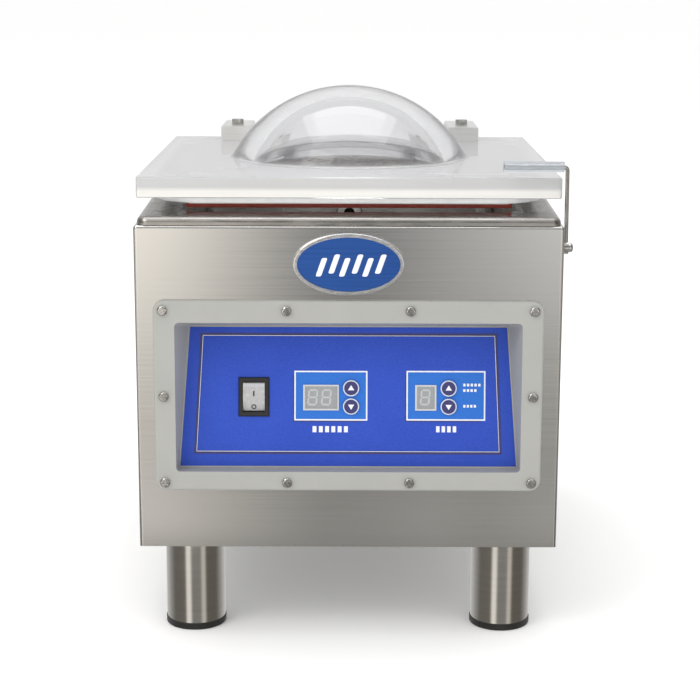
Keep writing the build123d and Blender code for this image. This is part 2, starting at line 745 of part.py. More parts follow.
def motor_fan():
    """Fan with seven blades on the motor's shaft."""
    fan = rod_x(12, motor_end + 8, motor_end + 26, pump_y, pump_z)
    for index in range(7):
        turn = Pos(0, pump_y, pump_z) * Rot(index * 360 / 7, 0, 0)
        blade = Pos(motor_end + 17, 0, 29) * Rot(0, 0, 24) * Box(18, 2, 38)
        fan += turn * blade
    return fan - rod_x(6, motor_end, motor_end + 40, pump_y, pump_z)


def motor_shaft():
    return rod_x(6, motor_end - 38, motor_end + 26, pump_y, pump_z)


def oil_sight_glass():
    """Round oil window on the pump's end."""
    ring = rod_x(15, -124, -118, pump_y, body_bottom + 50)
    return chamfer(ring.edges().sort_by(Axis.X)[0], 1.5)


def exhaust_filter():
    """Upright oil mist canister behind the pump, on a flanged foot."""
    canister = rod_z(25, body_bottom + 20, body_bottom + 160, filter_x, filter_y)
    canister = fillet(canister.edges().group_by(Axis.Z)[-1], 8)
    foot = block(filter_x - 30, filter_x + 30, filter_y - 25, filter_y + 25, body_bottom + 2, body_bottom + 6)
    return canister + foot + rod_z(10, body_bottom + 4, body_bottom + 22, filter_x, filter_y)


def transformer():
    """Laminated core with a wound coil, on two feet."""
    x0, x1, y0, y1 = 80, 150, 80, 140
    z0 = body_bottom + 4
    core = block(x0, x1, y0 + 12, y1 - 12, z0, z0 + 62)
    coil = fillet(block(x0 + 12, x1 - 12, y0, y1, z0 + 12, z0 + 50).edges().filter_by(Axis.X), 5)
    feet = block(x0 - 8, x1 + 8, y0 + 14, y1 - 14, body_bottom + 2, z0)
    return core + coil + feet


def valve():
    """Solenoid valve on the back of the vacuum port."""
    y0 = opening_rear + 24.2
    body = block(-16, 16, y0, y0 + 34, port_height - 16, port_height + 14)
    coil = block(-13, 13, y0 + 3, y0 + 29, port_height + 14, port_height + 34)
    stub = rod_z(7, port_height - 26, port_height - 16, 0, y0 + 17)
    return body + fillet(coil.edges().filter_by(Axis.Z), 4) + stub


def vacuum_hose():
    """Hose from the valve down to the pump's inlet, round the chamber's rear corner."""
    y0 = opening_rear + 24.2 + 17
    z0 = port_height - 26.1
    points = [(0, y0, z0), (0, y0, 240), (-65, pump_y, 240), (-65, pump_y, pump_z + 60.1)]
    path = FilletPolyline(*points, radius=11)
    return sweep(Plane(origin=points[0], z_dir=(0, 0, -1)) * Circle(7.5), path=path)


def mains_inlet():
    """Appliance inlet with three pins in a recess."""
    inlet = block(inlet_x - 14.2, inlet_x + 14.2, body_depth - 22, body_depth, inlet_z - 10.2, inlet_z + 10.2)
    inlet += block(inlet_x - 24, inlet_x + 24, body_depth, body_depth + 2.2, inlet_z - 12, inlet_z + 12)
    inlet -= block(inlet_x - 12, inlet_x + 12, body_depth - 17, body_depth + 5, inlet_z - 8, inlet_z + 8)
    for across, up in ((-7, -2), (7, -2), (0, 3)):
        x = inlet_x + across
        z = inlet_z + up
        inlet += block(x - 1, x + 1, body_depth - 18, body_depth - 3, z - 2, z + 2)
    return inlet


def save_body():
    save("housing", housing())
    save("base_plate", base_plate())
    save("rear_panel", rear_panel())
    save("rear_screws", *rear_screws())
    save("legs", *[leg(x, y) for x, y in leg_places()])
    save("foot_caps", *[foot_cap(x, y) for x, y in leg_places()])
    save("leg_bolts", *[leg_bolt(x, y) for x, y in leg_places()])
    save("base_bolt", base_bolt())


def save_chamber():
    save("chamber", chamber())
    save("vacuum_port", vacuum_port())
    save("port_nut", port_nut())
    save("filler_plate", filler_plate())
    save("lift_cylinders", lift_cylinder(-piston_x), lift_cylinder(piston_x))
    save("seal_bar", seal_bar())
    save("heater_band", heater_band())
    save("seal_cover", seal_cover())
    save("lift_pistons", lift_piston(-piston_x), lift_piston(piston_x))


def save_lid():
    save("lid", tilted(lid()))
    save("lid_gasket", tilted(lid_gasket()))
    save("counter_bar", tilted(counter_bar()))
    save("counter_pad", tilted(counter_pad()))
    save("hinge_arm_left", tilted(hinge_arm(-1, arm_front_left)))
    save("hinge_arm_right", tilted(hinge_arm(1, arm_front_right)))
    save("arm_bolts", tilted(arm_bolt(-1)), tilted(arm_bolt(1)))
    save("arm_nuts", tilted(arm_nut(-1)), tilted(arm_nut(1)))
    save("spring_pins", tilted(spring_pin(-1)), tilted(spring_pin(1)))
    save("hinge_shaft", hinge_shaft())
    save("hinge_pillows", hinge_pillow(-1), hinge_pillow(1))
    save("pillow_screws", pillow_screw(-1), pillow_screw(1))
    save("lid_springs", lid_spring(-1), lid_spring(1))
    save("spring_anchor", spring_anchor())
    save("lid_switch", lid_switch())


def save_controls():
    save("hook", hook())
    save("hook_sleeve", hook_sleeve())
    save("hook_screw", hook_screw())
    save("control_bezel", control_bezel())
    save("bezel_screws", *[bezel_screw(x, z) for x, z in bezel_screw_places()])
    save("control_panel", control_panel())
    save("vacuum_display", display(*vacuum_display_place))
    save("seal_display", display(*seal_display_place))
    for name, (x, w) in button_places.items():
        save(name, button(x, w))
    save("switch_frame", switch_frame())
    save("rocker", rocker())
    save("control_board", control_board())
    save("badge_rim", badge_rim())
    save("badge_face", badge_face())


def save_services():
    save("vacuum_pump", vacuum_pump())
    save("pump_motor", pump_motor())
    save("fan_cover", fan_cover())
    save("motor_fan", motor_fan())
    save("motor_shaft", motor_shaft())
    save("oil_sight_glass", oil_sight_glass())
    save("exhaust_filter", exhaust_filter())
    save("transformer", transformer())
    save("valve", valve())
    save("vacuum_hose", vacuum_hose())
    save("mains_inlet", mains_inlet())


os.makedirs("parts", exist_ok=True)
save_body()
save_chamber()
save_lid()
save_controls()
save_services()
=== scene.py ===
"""Looks of the vacuum chamber sealer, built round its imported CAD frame. Lengths are in metres."""

import json
import math

import bmesh
import bpy
from mathutils import Matrix, Vector


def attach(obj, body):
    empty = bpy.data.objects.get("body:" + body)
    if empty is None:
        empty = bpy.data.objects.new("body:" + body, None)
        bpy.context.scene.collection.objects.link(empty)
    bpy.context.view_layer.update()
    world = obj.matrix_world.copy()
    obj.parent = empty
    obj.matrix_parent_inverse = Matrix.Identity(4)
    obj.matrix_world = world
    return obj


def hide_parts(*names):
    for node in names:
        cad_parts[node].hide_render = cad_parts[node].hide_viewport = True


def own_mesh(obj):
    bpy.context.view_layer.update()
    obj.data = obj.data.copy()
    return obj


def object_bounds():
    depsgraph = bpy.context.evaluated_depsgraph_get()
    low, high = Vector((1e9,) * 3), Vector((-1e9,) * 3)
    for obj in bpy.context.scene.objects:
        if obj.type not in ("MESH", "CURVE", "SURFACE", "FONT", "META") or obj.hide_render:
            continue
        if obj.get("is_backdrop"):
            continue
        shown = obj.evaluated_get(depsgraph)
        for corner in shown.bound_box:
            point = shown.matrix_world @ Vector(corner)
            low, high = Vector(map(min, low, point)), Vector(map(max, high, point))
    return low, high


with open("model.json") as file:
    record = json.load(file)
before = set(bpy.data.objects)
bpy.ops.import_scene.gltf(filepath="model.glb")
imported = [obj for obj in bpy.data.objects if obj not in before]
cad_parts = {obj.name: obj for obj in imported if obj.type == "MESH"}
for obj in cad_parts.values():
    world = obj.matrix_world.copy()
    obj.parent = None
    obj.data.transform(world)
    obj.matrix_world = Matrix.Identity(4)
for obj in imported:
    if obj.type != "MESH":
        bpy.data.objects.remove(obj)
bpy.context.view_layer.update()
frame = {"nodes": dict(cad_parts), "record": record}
nodes = frame["nodes"]
scene = bpy.context.scene
scene.view_settings.view_transform = "Standard"

# Meshes are drawn in millimetres and scaled by MM
MM = 0.001


# ------------------------------------------------------------------ node helpers


def new_node(tree, kind, **values):
    """Adds a node and sets its properties and sockets; a socket's name is written with _ for a space."""
    node = tree.nodes.new(kind)
    for key, value in values.items():
        if hasattr(node, key):
            setattr(node, key, value)
        else:
            socket = node.inputs[int(key[1:])] if key[1:].isdigit() else node.inputs[key.replace("_", " ")]
            if isinstance(value, bpy.types.NodeSocket):
                tree.links.new(value, socket)
            else:
                socket.default_value = value
    return node


def math_node(tree, operation, a, b=0.0):
    """One sum on numbers or sockets; returns its result's socket."""
    node = tree.nodes.new("ShaderNodeMath")
    node.operation = operation
    for socket, value in zip(node.inputs, (a, b)):
        if isinstance(value, bpy.types.NodeSocket):
            tree.links.new(value, socket)
        else:
            socket.default_value = value
    return node.outputs[0]


def mapped(tree, value, low, high, to_low, to_high, smooth=False):
    """Maps low..high onto to_low..to_high, and holds the ends."""
    node = tree.nodes.new("ShaderNodeMapRange")
    node.interpolation_type = "SMOOTHSTEP" if smooth else "LINEAR"
    tree.links.new(value, node.inputs[0])
    for index, number in enumerate((low, high, to_low, to_high)):
        node.inputs[index + 1].default_value = number
    return node.outputs[0]


def spread(tree, value, to_low=0.0, to_high=1.0):
    """Stretches a noise value's usual range over the range that is wanted."""
    return mapped(tree, value, 0.3, 0.7, to_low, to_high)


def ramp(tree, value, stops):
    """A colour ramp from (place, colour) stops."""
    node = tree.nodes.new("ShaderNodeValToRGB")
    elements = node.color_ramp.elements
    while len(elements) < len(stops):
        elements.new(0.5)
    for element, (place, colour) in zip(elements, stops):
        element.position = place
        element.color = (*colour, 1)
    tree.links.new(value, node.inputs[0])
    return node.outputs[0]


def scaled_coords(tree, scale):
    """Object coordinates, stretched by three scales."""
    coords = tree.nodes.new("ShaderNodeTexCoord")
    mapping = tree.nodes.new("ShaderNodeMapping")
    mapping.inputs["Scale"].default_value = scale
    tree.links.new(coords.outputs["Object"], mapping.inputs["Vector"])
    return mapping.outputs[0]


def noise(tree, scale, detail=3.0, size=1.0, rough=0.5):
    """A noise value over object space, whose three scales are stretched one by one."""
    node = tree.nodes.new("ShaderNodeTexNoise")
    node.inputs["Scale"].default_value = size
    node.inputs["Detail"].default_value = detail
    node.inputs["Roughness"].default_value = rough
    tree.links.new(scaled_coords(tree, scale), node.inputs["Vector"])
    return node.outputs[0]


def mixed_colour(tree, factor, a, b):
    """A mix of two colours, each a tuple or a socket."""
    node = tree.nodes.new("ShaderNodeMix")
    node.data_type = "RGBA"
    for name, value in (("Factor", factor), ("A", a), ("B", b)):
        socket = [s for s in node.inputs if s.name == name and (name == "Factor" or s.type == "RGBA")][0]
        if isinstance(value, bpy.types.NodeSocket):
            tree.links.new(value, socket)
        elif name == "Factor":
            socket.default_value = value
        else:
            socket.default_value = (*value, 1)
    return [s for s in node.outputs if s.type == "RGBA"][0]


def bumped(tree, shader, height, strength, distance):
    """Bumps a shader's normal by a height that is given in metres."""
    bump = tree.nodes.new("ShaderNodeBump")
    bump.inputs["Strength"].default_value = strength
    bump.inputs["Distance"].default_value = distance
    tree.links.new(height, bump.inputs["Height"])
    tree.links.new(bump.outputs[0], shader.inputs["Normal"])


def material(name, metallic=0.0, roughness=0.5, **values):
    """A new material with one Principled shader; returns (material, tree, shader)."""
    made = bpy.data.materials.new(name)
    made.use_nodes = True
    tree = made.node_tree
    shader = tree.nodes["Principled BSDF"]
    shader.inputs["Metallic"].default_value = metallic
    shader.inputs["Roughness"].default_value = roughness
    for key, value in values.items():
        shader.inputs[key.replace("_", " ")].default_value = value
    return made, tree, shader


def colour_from(tree, shader, factor, a, b):
    """Gives a shader a base colour between two colours."""
    tree.links.new(mixed_colour(tree, factor, a, b), shader.inputs["Base Color"])


# ------------------------------------------------------------------ materials


def brushed(name, light, dark, roughness=0.27, grain="level", stretch=0.0, streak=700.0):
    """Brushed sheet. Its grain runs level on the upright faces, or upright, or along Y."""
    made, tree, shader = material(name, 1.0, roughness, Anisotropic=stretch, Anisotropic_Rotation=0.25)
    scales = {"level": (5, 5, streak), "upright": (streak, streak, 5), "along": (streak, 5, streak)}
    fine = noise(tree, scales[grain], 4.0, rough=0.6)
    cloud = noise(tree, (9, 9, 14), 2.0)
    if grain == "level":
        deck = noise(tree, (5, streak, 5), 4.0, rough=0.6)
        coords = tree.nodes.new("ShaderNodeTexCoord")
        parts = new_node(tree, "ShaderNodeSeparateXYZ", _0=coords.outputs["Normal"])
        up = mapped(tree, parts.outputs[2], 0.6, 0.8, 0.0, 1.0)
        blend = tree.nodes.new("ShaderNodeMix")
        tree.links.new(up, blend.inputs[0])
        tree.links.new(fine, blend.inputs[2])
        tree.links.new(deck, blend.inputs[3])
        fine = blend.outputs[0]
    fine_part = math_node(tree, "MULTIPLY", fine, 0.8)
    cloud_part = math_node(tree, "MULTIPLY", cloud, 0.2)
    value = math_node(tree, "ADD", fine_part, cloud_part)
    colour_from(tree, shader, spread(tree, value), dark, light)
    tree.links.new(spread(tree, fine, roughness - 0.03, roughness + 0.03), shader.inputs["Roughness"])
    if stretch:
        tangent = new_node(tree, "ShaderNodeTangent", direction_type="RADIAL", axis="Z")
        tree.links.new(tangent.outputs[0], shader.inputs["Tangent"])
    bumped(tree, shader, fine, 0.06, 0.0001)
    return made


def polished(name, light, dark, roughness=0.1, scale=30.0, bump=0.03):
    """Polished metal with faint rub marks."""
    made, tree, shader = material(name, 1.0, roughness)
    cloud = noise(tree, (scale, scale, scale), 4.0)
    rubs = noise(tree, (scale * 2, scale * 30, scale * 8), 2.0)
    colour_from(tree, shader, spread(tree, cloud), dark, light)
    tree.links.new(spread(tree, rubs, roughness * 0.7, roughness * 1.4), shader.inputs["Roughness"])
    bumped(tree, shader, cloud, bump, 0.0004)
    return made


def plastic(name, light, dark, roughness=0.5, scale=1500.0, bump=0.15, speckle=0.5, shine=0.5):
    """Moulded or printed plastic, with a fine texture and faint shade changes."""
    made, tree, shader = material(name, 0.0, roughness, Specular_IOR_Level=shine)
    fine = noise(tree, (scale, scale, scale), 2.0)
    cloud = noise(tree, (25, 25, 25), 3.0)
    fine_part = math_node(tree, "MULTIPLY", fine, speckle)
    cloud_part = math_node(tree, "MULTIPLY", cloud, 1 - speckle)
    value = math_node(tree, "ADD", fine_part, cloud_part)
    colour_from(tree, shader, mapped(tree, value, 0.35, 0.65, 0.0, 1.0), dark, light)
    tree.links.new(spread(tree, fine, roughness - 0.04, roughness + 0.04), shader.inputs["Roughness"])
    bumped(tree, shader, fine, bump, 0.0001)
    return made


def painted(name, light, dark, roughness=0.45):
    """Painted casting: orange peel, and paint that is thin and paler on the high spots."""
    made, tree, shader = material(name, 0.0, roughness, Coat_Weight=0.2, Coat_Roughness=0.3)
    peel = noise(tree, (500, 500, 500), 3.0)
    cloud = noise(tree, (18, 18, 18), 5.0, rough=0.6)
    colour_from(tree, shader, mapped(tree, cloud, 0.35, 0.68, 0.0, 1.0), dark, light)
    bumped(tree, shader, peel, 0.25, 0.0003)
    return made


def rubber(name, light, dark, roughness=0.6):
    """Rubber or silicone: a gritty skin with paler dust on it."""
    made, tree, shader = material(name, 0.0, roughness, Sheen_Weight=0.15, Sheen_Roughness=0.5)
    dust = noise(tree, (120, 120, 120), 5.0, rough=0.65)
    grit = noise(tree, (1800, 1800, 1800), 2.0)
    colour_from(tree, shader, mapped(tree, dust, 0.4, 0.72, 0.0, 1.0), dark, light)
    bumped(tree, shader, grit, 0.3, 0.0002)
    return made


def edge_band(tree, below, split, front):
    """Covers a sheet's front edge: the saw-cut face is grey, and its lower part has painted light, a paler
    cream colour and a faint warm glow where the edge pipes light.
    """
    coords = tree.nodes.new("ShaderNodeTexCoord")
    place = new_node(tree, "ShaderNodeSeparateXYZ", _0=coords.outputs["Object"])
    facing = new_node(tree, "ShaderNodeSeparateXYZ", _0=coords.outputs["Normal"])
    ahead = math_node(
        tree, "MULTIPLY", mapped(tree, facing.outputs[1], -0.7, -0.9, 0.0, 0.9),
        mapped(tree, place.outputs[1], front, front + 0.006, 1.0, 0.0),
    )
    # Painted light: below the split line the edge is painted a paler cream and glows faintly.
    low = mapped(tree, place.outputs[2], split - 0.0022, split + 0.0022, 1.0, 0.0, smooth=True)
    grain = spread(tree, noise(tree, (6, 6, 900), 3.0), 0.94, 1.0)
    painted_light_tone = mixed_colour(tree, low, (0.55, 0.55, 0.545), (0.80, 0.785, 0.74))
    rim = new_node(
        tree, "ShaderNodeBsdfPrincipled",
        Base_Color=mixed_colour(tree, grain, (0, 0, 0), painted_light_tone), Roughness=0.35,
        Emission_Color=(1.0, 0.96, 0.89, 1.0), Emission_Strength=math_node(tree, "MULTIPLY", low, 0.03),
    )
    return new_node(tree, "ShaderNodeMixShader", _0=ahead, _1=below.outputs[0], _2=rim.outputs[0])


def acrylic(name, tint, milk, haze, clearer=None, edge=None):
    """Clear sheet with a pale, slightly milky body, so that what is under it shows only faintly.

    clearer is (x, y, inner radius, outer radius, haze) of an upright round zone that is less milky.
    edge is (height, y) of the line on the front edge where its lit band ends, and of that edge."""
    made, tree, shader = material(name, 0.0, 0.03, Transmission_Weight=1.0, IOR=1.49)
    cloud = noise(tree, (14, 14, 14), 3.0)
    colour_from(tree, shader, spread(tree, cloud), tint, [min(1.0, c * 1.03) for c in tint])
    scuffs = noise(tree, (90, 900, 90), 4.0, rough=0.6)
    tree.links.new(mapped(tree, scuffs, 0.55, 0.75, 0.02, 0.07), shader.inputs["Roughness"])
    body = new_node(tree, "ShaderNodeBsdfPrincipled", Roughness=0.25, IOR=1.49)
    shade = noise(tree, (6, 6, 30), 2.0)
    colour_from(tree, body, spread(tree, shade), milk, [c * 0.96 for c in milk])
    mix = new_node(tree, "ShaderNodeMixShader", _0=haze, _1=shader.outputs[0], _2=body.outputs[0])
    if clearer:
        x, y, inner, outer, least = clearer
        coords = tree.nodes.new("ShaderNodeTexCoord")
        parts = new_node(tree, "ShaderNodeSeparateXYZ", _0=coords.outputs["Object"])
        dx = math_node(tree, "SUBTRACT", parts.outputs[0], x)
        dy = math_node(tree, "SUBTRACT", parts.outputs[1], y)
        square_x = math_node(tree, "MULTIPLY", dx, dx)
        square_y = math_node(tree, "MULTIPLY", dy, dy)
        distance = math_node(tree, "SQRT", math_node(tree, "ADD", square_x, square_y))
        tree.links.new(mapped(tree, distance, inner, outer, least, haze, True), mix.inputs[0])
    if edge:
        mix = edge_band(tree, mix, *edge)
    tree.links.new(mix.outputs[0], tree.nodes["Material Output"].inputs["Surface"])
    return made


def woven(name, light, dark, threads=900.0, roughness=0.55):
    """Coated glass cloth: a plain weave under a glossy coat."""
    made, tree, shader = material(name, 0.0, roughness, Coat_Weight=0.3, Coat_Roughness=0.25)
    coords = scaled_coords(tree, (threads, threads, threads))
    waves = []
    for direction in ("X", "Y"):
        wave = new_node(tree, "ShaderNodeTexWave", bands_direction=direction, Scale=1.0)
        tree.links.new(coords, wave.inputs["Vector"])
        waves.append(wave.outputs[1])
    weave = math_node(tree, "MULTIPLY", *waves)
    colour_from(tree, shader, weave, dark, light)
    bumped(tree, shader, weave, 0.4, 0.0002)
    return made


def flat_print(name, colour, roughness=0.4):
    """Screen-printed ink, and the painted shade inside the display windows: even, with a faint grain."""
    made, tree, shader = material(name, 0.0, roughness)
    grain = noise(tree, (2200, 2200, 2200), 2.0)
    darker = [c * 0.9 for c in colour]
    colour_from(tree, shader, spread(tree, grain), darker, colour)
    bumped(tree, shader, grain, 0.05, 0.0001)
    return made


M = {
    "housing_steel": brushed("housing_steel", (0.77, 0.755, 0.73), (0.70, 0.685, 0.66), 0.20, stretch=0.6),
    "sheet_steel": brushed("sheet_steel", (0.62, 0.62, 0.60), (0.50, 0.50, 0.48), 0.35),
    "leg_steel": brushed("leg_steel", (0.74, 0.72, 0.68), (0.66, 0.64, 0.60), 0.16),
    "chamber_steel": polished("chamber_steel", (0.52, 0.50, 0.475), (0.43, 0.415, 0.39), 0.26, 20.0),
    "screw_steel": polished("screw_steel", (0.80, 0.79, 0.77), (0.46, 0.45, 0.43), 0.12, 260.0),
    "piston_steel": polished("piston_steel", (0.75, 0.75, 0.75), (0.66, 0.66, 0.66), 0.1, 100.0),
    "hook_steel": polished("hook_steel", (0.72, 0.71, 0.69), (0.52, 0.51, 0.49), 0.18, 150.0, 0.1),
    "spring_steel": polished("spring_steel", (0.50, 0.50, 0.50), (0.36, 0.36, 0.36), 0.25, 300.0),
    "port_metal": polished("port_metal", (0.66, 0.65, 0.63), (0.52, 0.51, 0.50), 0.2, 150.0),
    "foot_rubber": rubber("foot_rubber", (0.022, 0.022, 0.022), (0.010, 0.010, 0.010)),
    "filler_plastic": plastic("filler_plastic", (0.80, 0.80, 0.78), (0.74, 0.74, 0.72), 0.45, 700.0),
    "cylinder_aluminium": brushed("cylinder_aluminium", (0.74, 0.74, 0.73), (0.62, 0.62, 0.61), 0.3),
    "bar_aluminium": brushed("bar_aluminium", (0.93, 0.93, 0.92), (0.84, 0.84, 0.83), 0.3),
    "arm_aluminium": brushed("arm_aluminium", (0.95, 0.95, 0.94), (0.87, 0.87, 0.86), 0.30, streak=1400.0),
    "heater_alloy": brushed("heater_alloy", (0.58, 0.54, 0.48), (0.42, 0.38, 0.34), 0.3),
    "seal_tape": woven("seal_tape", (0.50, 0.33, 0.18), (0.28, 0.16, 0.08)),
    "clear_acrylic": acrylic(
        "clear_acrylic", (0.945, 0.945, 0.955), (0.75, 0.75, 0.765), 0.5,
        clearer=(-0.0044, -0.0495, 0.104, 0.109, 0.11), edge=(0.3861, -0.2225),
    ),
    "gasket_silicone": rubber("gasket_silicone", (0.86, 0.87, 0.86), (0.78, 0.79, 0.78), 0.5),
    "red_silicone": rubber("red_silicone", (0.60, 0.09, 0.05), (0.46, 0.05, 0.025), 0.6),
    "black_plastic": plastic("black_plastic", (0.022, 0.022, 0.022), (0.012, 0.012, 0.012), 0.4, 1200.0, 0.3),
    "clear_tube": acrylic("clear_tube", (0.84, 0.88, 0.92), (0.52, 0.56, 0.60), 0.28),
    "bezel_plastic": plastic("bezel_plastic", (0.415, 0.415, 0.39), (0.385, 0.385, 0.36), 0.5, 1600.0, 0.3),
    "panel_blue": plastic("panel_blue", (0.415, 0.415, 0.39), (0.385, 0.385, 0.36), 0.5, 1600.0, 0.3),
    "film_blue": plastic(
        "film_blue", (0.042, 0.100, 0.55), (0.028, 0.070, 0.45), 0.5, 1400.0, 0.25, speckle=0.8, shine=0.12
    ),
    "block_blue": plastic(
        "block_blue", (0.040, 0.19, 0.66), (0.030, 0.155, 0.58), 0.5, 1400.0, 0.2, speckle=0.8, shine=0.12
    ),
    "navy_ink": flat_print("navy_ink", (0.040, 0.040, 0.18)),
    "white_ink": flat_print("white_ink", (0.90, 0.91, 0.95)),
    "display_grey": plastic(
        "display_grey", (0.36, 0.375, 0.375), (0.31, 0.325, 0.325), 0.25, 900.0, 0.05, speckle=0.4
    ),
    "digit_grey": flat_print("digit_grey", (0.52, 0.53, 0.56), 0.3),
    # Dark grey for the ring of painted shade just inside each display window.
    "display_painted_shade": flat_print("display_painted_shade", (0.16, 0.17, 0.18), 0.4),
    "frame_white": plastic("frame_white", (0.62, 0.63, 0.64), (0.55, 0.56, 0.57), 0.35, 900.0),
    "button_navy": plastic("button_navy", (0.72, 0.74, 0.80), (0.66, 0.68, 0.74), 0.4, 1400.0, 0.1),
    "rocker_plastic": plastic(
        "rocker_plastic", (0.50, 0.50, 0.50), (0.42, 0.42, 0.42), 0.25, 300.0, 0.1, speckle=0.6
    ),
    "board_green": plastic(
        "board_green", (0.03, 0.20, 0.09), (0.02, 0.13, 0.06), 0.35, 300.0, 0.3, speckle=0.3
    ),
    "badge_silver": polished("badge_silver", (0.88, 0.88, 0.90), (0.80, 0.80, 0.82), 0.22, 60.0),
    "badge_blue": brushed("badge_blue", (0.07, 0.20, 0.66), (0.045, 0.14, 0.52), 0.4, streak=1100.0),
    "pump_iron": painted("pump_iron", (0.24, 0.26, 0.29), (0.15, 0.17, 0.19)),
    "motor_paint": painted("motor_paint", (0.13, 0.14, 0.16), (0.07, 0.08, 0.09)),
    "fan_plastic": plastic("fan_plastic", (0.05, 0.05, 0.05), (0.03, 0.03, 0.03), 0.5, 900.0),
    "sight_glass": acrylic("sight_glass", (0.95, 0.88, 0.62), (0.55, 0.42, 0.14), 0.4),
    "filter_paint": painted("filter_paint", (0.36, 0.38, 0.40), (0.26, 0.28, 0.30)),
    "core_iron": brushed(
        "core_iron", (0.20, 0.18, 0.17), (0.08, 0.07, 0.07), 0.5, grain="along", streak=1500.0
    ),
    "hose_rubber": rubber("hose_rubber", (0.06, 0.06, 0.06), (0.03, 0.03, 0.03)),
}

for entry in frame["record"]["subparts"]:
    holder = nodes[entry["node"]].data
    holder.materials.clear()
    holder.materials.append(M[entry["material_slot"]])


# ------------------------------------------------------------------ mesh helpers


def piece(name, bm, look, body, place=None):
    """Turns a bmesh, in metres, into an object that rides on a body."""
    if place is not None:
        bmesh.ops.transform(bm, matrix=place, verts=bm.verts)
    bmesh.ops.recalc_face_normals(bm, faces=bm.faces)
    mesh = bpy.data.meshes.new(name)
    bm.to_mesh(mesh)
    bm.free()
    mesh.materials.append(M[look])
    made = bpy.data.objects.new(name, mesh)
    bpy.context.collection.objects.link(made)
    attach(made, body)
    return made


def add_prism(bm, outline, low, high, inner=None):
    """Adds a flat prism between two heights; inner, a loop of as many points, makes it a ring."""
    def loop(points, height):
        return [bm.verts.new((x * MM, y * MM, height * MM)) for x, y in points]

    count = len(outline)
    outer_low, outer_high = loop(outline, low), loop(outline, high)
    for i in range(count):
        j = (i + 1) % count
        bm.faces.new((outer_low[i], outer_low[j], outer_high[j], outer_high[i]))
    if inner is None:
        bm.faces.new(outer_high)
        bm.faces.new(list(reversed(outer_low)))
        return
    inner_low, inner_high = loop(inner, low), loop(inner, high)
    for i in range(count):
        j = (i + 1) % count
        bm.faces.new((inner_low[j], inner_low[i], inner_high[i], inner_high[j]))
        bm.faces.new((outer_high[i], outer_high[j], inner_high[j], inner_high[i]))
        bm.faces.new((outer_low[j], outer_low[i], inner_low[i], inner_low[j]))


def box_loop(x0, x1, y0, y1):
    """A rectangle as a loop of points."""
    return [(x0, y0), (x1, y0), (x1, y1), (x0, y1)]


def grown(loop, amount):
    """A four-cornered loop whose corners are moved outwards by an amount in both directions."""
    cx = sum(x for x, _ in loop) / len(loop)
    cy = sum(y for _, y in loop) / len(loop)
    return [(x + math.copysign(amount, x - cx), y + math.copysign(amount, y - cy)) for x, y in loop]


def rounded_loop(x0, x1, y0, y1, radius, steps=6):
    """A rectangle with round corners as a loop of points."""
    points = []
    corners = ((x1 - radius, y1 - radius, 0), (x0 + radius, y1 - radius, 90),
               (x0 + radius, y0 + radius, 180), (x1 - radius, y0 + radius, 270))
    for cx, cy, start in corners:
        for step in range(steps + 1):
            angle = math.radians(start + 90 * step / steps)
            points.append((cx + radius * math.cos(angle), cy + radius * math.sin(angle)))
    return points


def disc_loop(cx, cy, radius, count=48):
    """A circle as a loop of points."""
    angles = [2 * math.pi * i / count for i in range(count)]
    return [(cx + radius * math.cos(angle), cy + radius * math.sin(angle)) for angle in angles]


def wire_ring(bm, centre, across, up, wire, sides):
    """One ring of a round wire's skin, as vertices, in the plane of two directions."""
    ring = []
    for k in range(sides):
        turn = 2 * math.pi * k / sides
        point = centre + across * wire * math.cos(turn) + up * wire * math.sin(turn)
        ring.append(bm.verts.new(point * MM))
    return ring


def wire_skin(bm, rings):
    """Joins a wire's rings and closes its two ends."""
    for before, after in zip(rings, rings[1:]):
        for k in range(len(before)):
            n = (k + 1) % len(before)
            bm.faces.new((before[k], before[n], after[n], after[k]))
    bm.faces.new(list(reversed(rings[0])))
    bm.faces.new(rings[-1])


# ------------------------------------------------------------------ control panel's print

# The body's centre plane and its front face
BODY_X = -4.4
FRONT_Y = -236.8

# On the panel, x runs across, w runs up it and heights stand off its face
LEAN = math.atan2(22.0, 116.8)
FILM_TOP = 0.16
PANEL = Matrix.Translation(Vector((BODY_X, FRONT_Y + 22.0, 208.0)) * MM) @ Matrix((
    (1, 0, 0, 0),
    (0, math.sin(LEAN), -math.cos(LEAN), 0),
    (0, math.cos(LEAN), math.sin(LEAN), 0),
    (0, 0, 0, 1),
))


def printed(name, loops, low, high, look, body="body"):
    """Flat shapes on the panel, between two heights: each is a loop, or a pair of loops for a ring."""
    bm = bmesh.new()
    for shape in loops:
        if isinstance(shape[0][0], (tuple, list)):
            add_prism(bm, shape[0], low, high, shape[1])
        else:
            add_prism(bm, shape, low, high)
    return piece(name, bm, look, body, PANEL)


def panel_film():
    """The printed film: a little wider at the bottom, with a hole under the switch's frame."""
    inset, top, bottom = 1.4, 59.4, -61.9
    rows = (bottom + inset, -17.0, 14.0, top - inset)
    bm = bmesh.new()

    def corner(column, row, height):
        w = rows[row]
        edge = 140.2 - w * 8.3 / 118.85 - inset
        x = (-edge, -92.2, -68.6, edge)[column]
        return bm.verts.new((x * MM, w * MM, height * MM))

    low, high = [[[corner(c, r, h) for r in range(4)] for c in range(4)] for h in (0.0, FILM_TOP)]
    for c in range(3):
        for r in range(3):
            if (c, r) == (1, 1):
                continue
            for level in (low, high):
                bm.faces.new((level[c][r], level[c + 1][r], level[c + 1][r + 1], level[c][r + 1]))
    rim = [(0, 0), (1, 0), (2, 0), (3, 0), (3, 1), (3, 2), (3, 3), (2, 3), (1, 3), (0, 3), (0, 2), (0, 1)]
    hole = [(1, 1), (2, 1), (2, 2), (1, 2)]
    for loop in (rim, hole):
        for (c, r), (d, q) in zip(loop, loop[1:] + loop[:1]):
            bm.faces.new((low[c][r], low[d][q], high[d][q], high[c][r]))
    return piece("panel_film", bm, "film_blue", "body", PANEL)


panel_film()

